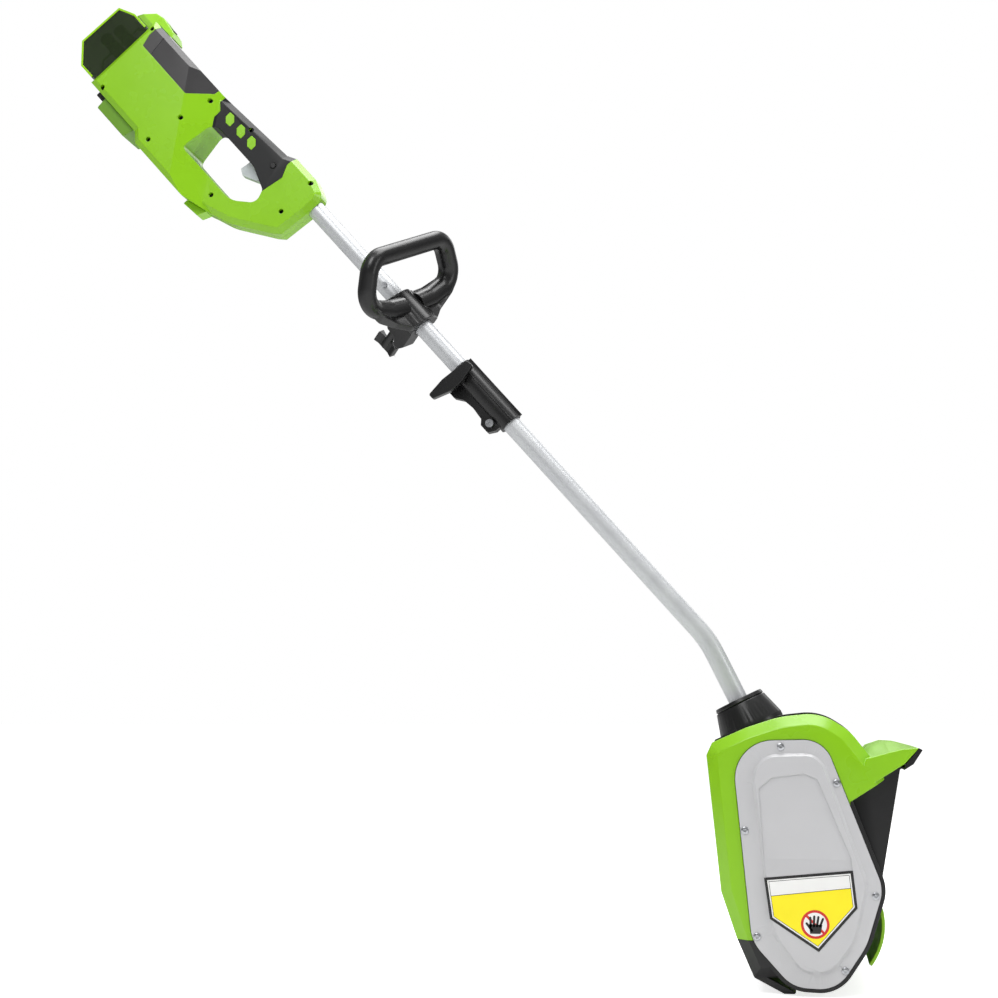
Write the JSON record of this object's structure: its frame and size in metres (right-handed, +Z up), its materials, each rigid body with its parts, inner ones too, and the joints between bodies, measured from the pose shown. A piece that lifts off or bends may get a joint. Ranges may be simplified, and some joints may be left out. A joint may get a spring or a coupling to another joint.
{
  "type": "snow shovel",
  "caption": "Battery powered snow shovel: bent two-part shaft, D-shaped rear handle with trigger, adjustable loop handle and belt driven paddle auger in a hooded head.",
  "frame": {"origin": "middle of the flat underside of the scraper bar, on the ground", "axes": "+X is the direction of travel, +Y the operator's left, +Z up; the shaft leans back to the rear handle as in use"},
  "size_m": [1.1429, 0.3439, 1.3423],
  "materials": {
    "green_shell": "satin moulded ABS, lime green",
    "black_plastic": "satin moulded nylon, black",
    "soft_grip": "matt soft-touch overmould",
    "grey_panel": "fine textured dark grey",
    "tube": "satin drawn and anodised tube",
    "steel": "zinc plated fasteners and shafts",
    "cover_silver": "silver-grey satin-gloss moulding",
    "battery_smoke": "smoked translucent polycarbonate",
    "battery_edge": "bright green edge frame",
    "cell": "shrink-wrapped cells",
    "trigger_grey": "light grey moulding",
    "belt": "ribbed rubber belt",
    "paddle": "green moulded auger",
    "board": "circuit board",
    "label": "printed film sticker",
    "lead": "cable jacket",
    "liner": "rubber liner",
    "motor": "black-grey can"
  },
  "bodies": {
    "upper_unit": {"handle_shell_right": "green_shell", "handle_shell_left": "green_shell", "grip_pad_right": "soft_grip", "grip_pad_left": "soft_grip", "side_panels": "grey_panel", "grip_inserts": "green_shell", "handle_screws": "steel", "latch_box": "green_shell", "rest_foot": "soft_grip", "trigger_pin": "steel", "trigger_spring": "steel", "trigger_switch": "black_plastic", "controller_board": "board", "terminal_block": "black_plastic", "upper_tube": "tube", "upper_lead": "lead", "lead_plug": "black_plastic", "coupler_sleeve": "black_plastic", "coupler_hardware": "steel"},
    "battery": {"battery_case": "battery_smoke", "battery_frame": "battery_edge", "battery_cells": "cell", "battery_cap": "green_shell"},
    "gauge": {"gauge_button": "black_plastic"},
    "release": {"release_button": "black_plastic"},
    "trigger_lever": {"trigger": "trigger_grey"},
    "lock": {"lock_button": "black_plastic"},
    "stop": {"stop_button": "steel"},
    "knob": {"coupler_knob": "black_plastic", "knob_bolt": "steel"},
    "liner": {"loop_liner": "liner"},
    "loop": {"loop_handle": "soft_grip", "loop_clamp": "black_plastic", "loop_screw": "steel"},
    "wing": {"loop_knob": "black_plastic"},
    "head": {"lower_tube": "tube", "lower_lead": "lead", "lead_socket": "black_plastic", "upper_housing": "green_shell", "right_cheek": "black_plastic", "left_cheek": "black_plastic", "chamber_back": "black_plastic", "scraper_bar": "black_plastic", "visor_lip": "black_plastic", "centre_spine": "black_plastic", "shaft_socket": "black_plastic", "socket_bolt": "steel", "side_cover": "cover_silver", "cover_screws": "steel", "cover_label": "label", "left_cover": "black_plastic", "motor_body": "motor", "motor_bracket": "steel", "drive_belt": "belt", "auger_bearings": "steel"},
    "rotor": {"motor_shaft": "steel", "motor_pulley": "steel"},
    "auger": {"auger_shaft": "steel", "auger_paddles": "paddle", "auger_pulley": "black_plastic"}
  },
  "joints": [
    {"name": "battery_slide", "type": "slide", "parent": "upper_unit", "child": "battery", "axis": [-0.6626, 0, 0.749], "range_m": [0, 0.065]},
    {"name": "gauge_press", "type": "slide", "parent": "battery", "child": "gauge", "axis": [-0.749, 0, -0.6626], "range_m": [0, 0.001], "stiffness_N_per_m": 800, "springref_m": -0.0005},
    {"name": "release_press", "type": "slide", "parent": "upper_unit", "child": "release", "axis": [0.6626, 0, -0.749], "range_m": [0, 0.004], "stiffness_N_per_m": 600, "springref_m": -0.001},
    {"name": "trigger_pull", "type": "hinge", "parent": "upper_unit", "child": "trigger_lever", "pos_m": [-0.69859, 0, 1.08363], "axis": [0, 1, 0], "range_deg": [0, 9], "stiffness_Nm_per_rad": 0.6, "springref_deg": -8.59},
    {"name": "lock_press", "type": "slide", "parent": "upper_unit", "child": "lock", "axis": [0, 1, 0], "range_m": [0, 0.002], "stiffness_N_per_m": 600, "springref_m": -0.0005},
    {"name": "stop_press", "type": "slide", "parent": "upper_unit", "child": "stop", "axis": [0, 1, 0], "range_m": [0, 0.0024], "stiffness_N_per_m": 600, "springref_m": -0.0005},
    {"name": "coupler_knob_turn", "type": "hinge", "parent": "upper_unit", "child": "knob", "pos_m": [-0.43539, 0, 0.77707], "axis": [0, 1, 0], "continuous": true},
    {"name": "loop_slide", "type": "slide", "parent": "upper_unit", "child": "liner", "axis": [0.6626, 0, -0.749], "range_m": [-0.012, 0.05]},
    {"name": "loop_turn", "type": "hinge", "parent": "liner", "child": "loop", "pos_m": [-0.49917, 0, 0.88087], "axis": [0.6626, 0, -0.749], "range_deg": [-60, 60]},
    {"name": "loop_knob_turn", "type": "hinge", "parent": "loop", "child": "wing", "pos_m": [-0.54316, 0.04092, 0.84862], "axis": [-0.5981, 0.6018, -0.5292], "continuous": true},
    {"name": "shaft_split", "type": "slide", "parent": "upper_unit", "child": "head", "axis": [0.6626, 0, -0.749], "range_m": [0, 0.06]},
    {"name": "auger_spin", "type": "hinge", "parent": "head", "child": "auger", "pos_m": [0.033, 0, 0.083], "axis": [0, 1, 0], "continuous": true},
    {"name": "motor_spin", "type": "hinge", "parent": "head", "child": "rotor", "pos_m": [-0.005, 0, 0.238], "axis": [0, 1, 0], "continuous": true}
  ],
  "couplings": [
    {"joint": "motor_spin", "follows": "auger_spin", "ratio": 3.75}
  ]
}
